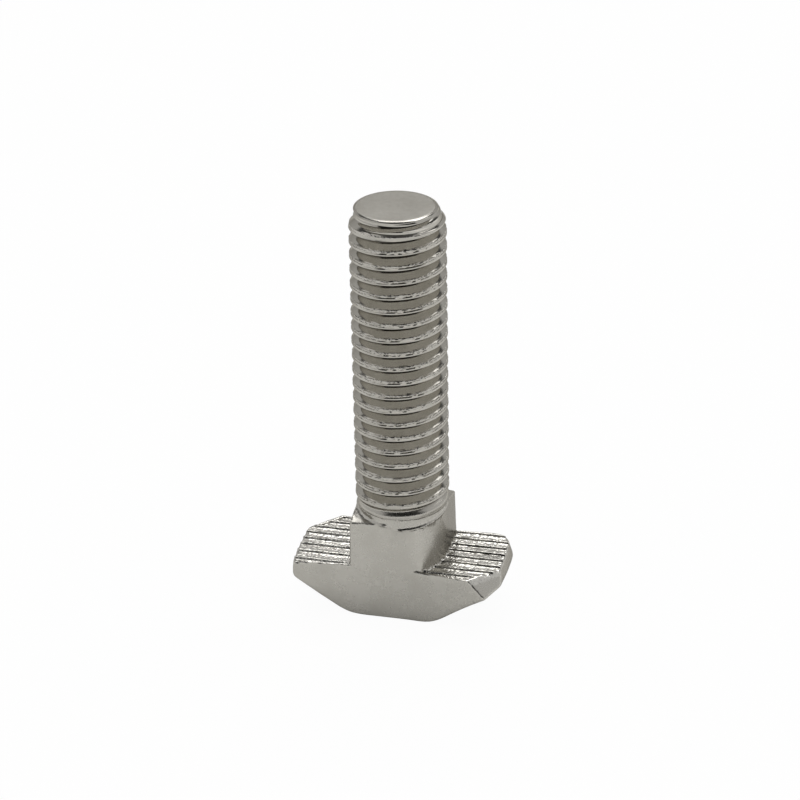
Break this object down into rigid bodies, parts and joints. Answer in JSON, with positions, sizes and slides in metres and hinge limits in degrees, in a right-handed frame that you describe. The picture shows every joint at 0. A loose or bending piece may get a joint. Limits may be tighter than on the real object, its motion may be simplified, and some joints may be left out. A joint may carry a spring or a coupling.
{
  "type": "t slot bolt",
  "caption": "Hammer-head T-slot bolt in nickel-plated steel, with ribbed bearing arms, a square neck that turns one way only, and a fully threaded shank.",
  "frame": {"origin": "centre of the flat base of the head, on the thread axis", "axes": "+Z along the thread axis, from the head to the tip; +X along the head's long way"},
  "size_m": [0.0179, 0.0088, 0.0359],
  "materials": {
    "nickel_plated_steel": "satin nickel plating over a cold-forged and thread-rolled steel surface"
  },
  "bodies": {
    "root": {"t_slot_bolt": "nickel_plated_steel"}
  },
  "joints": []
}
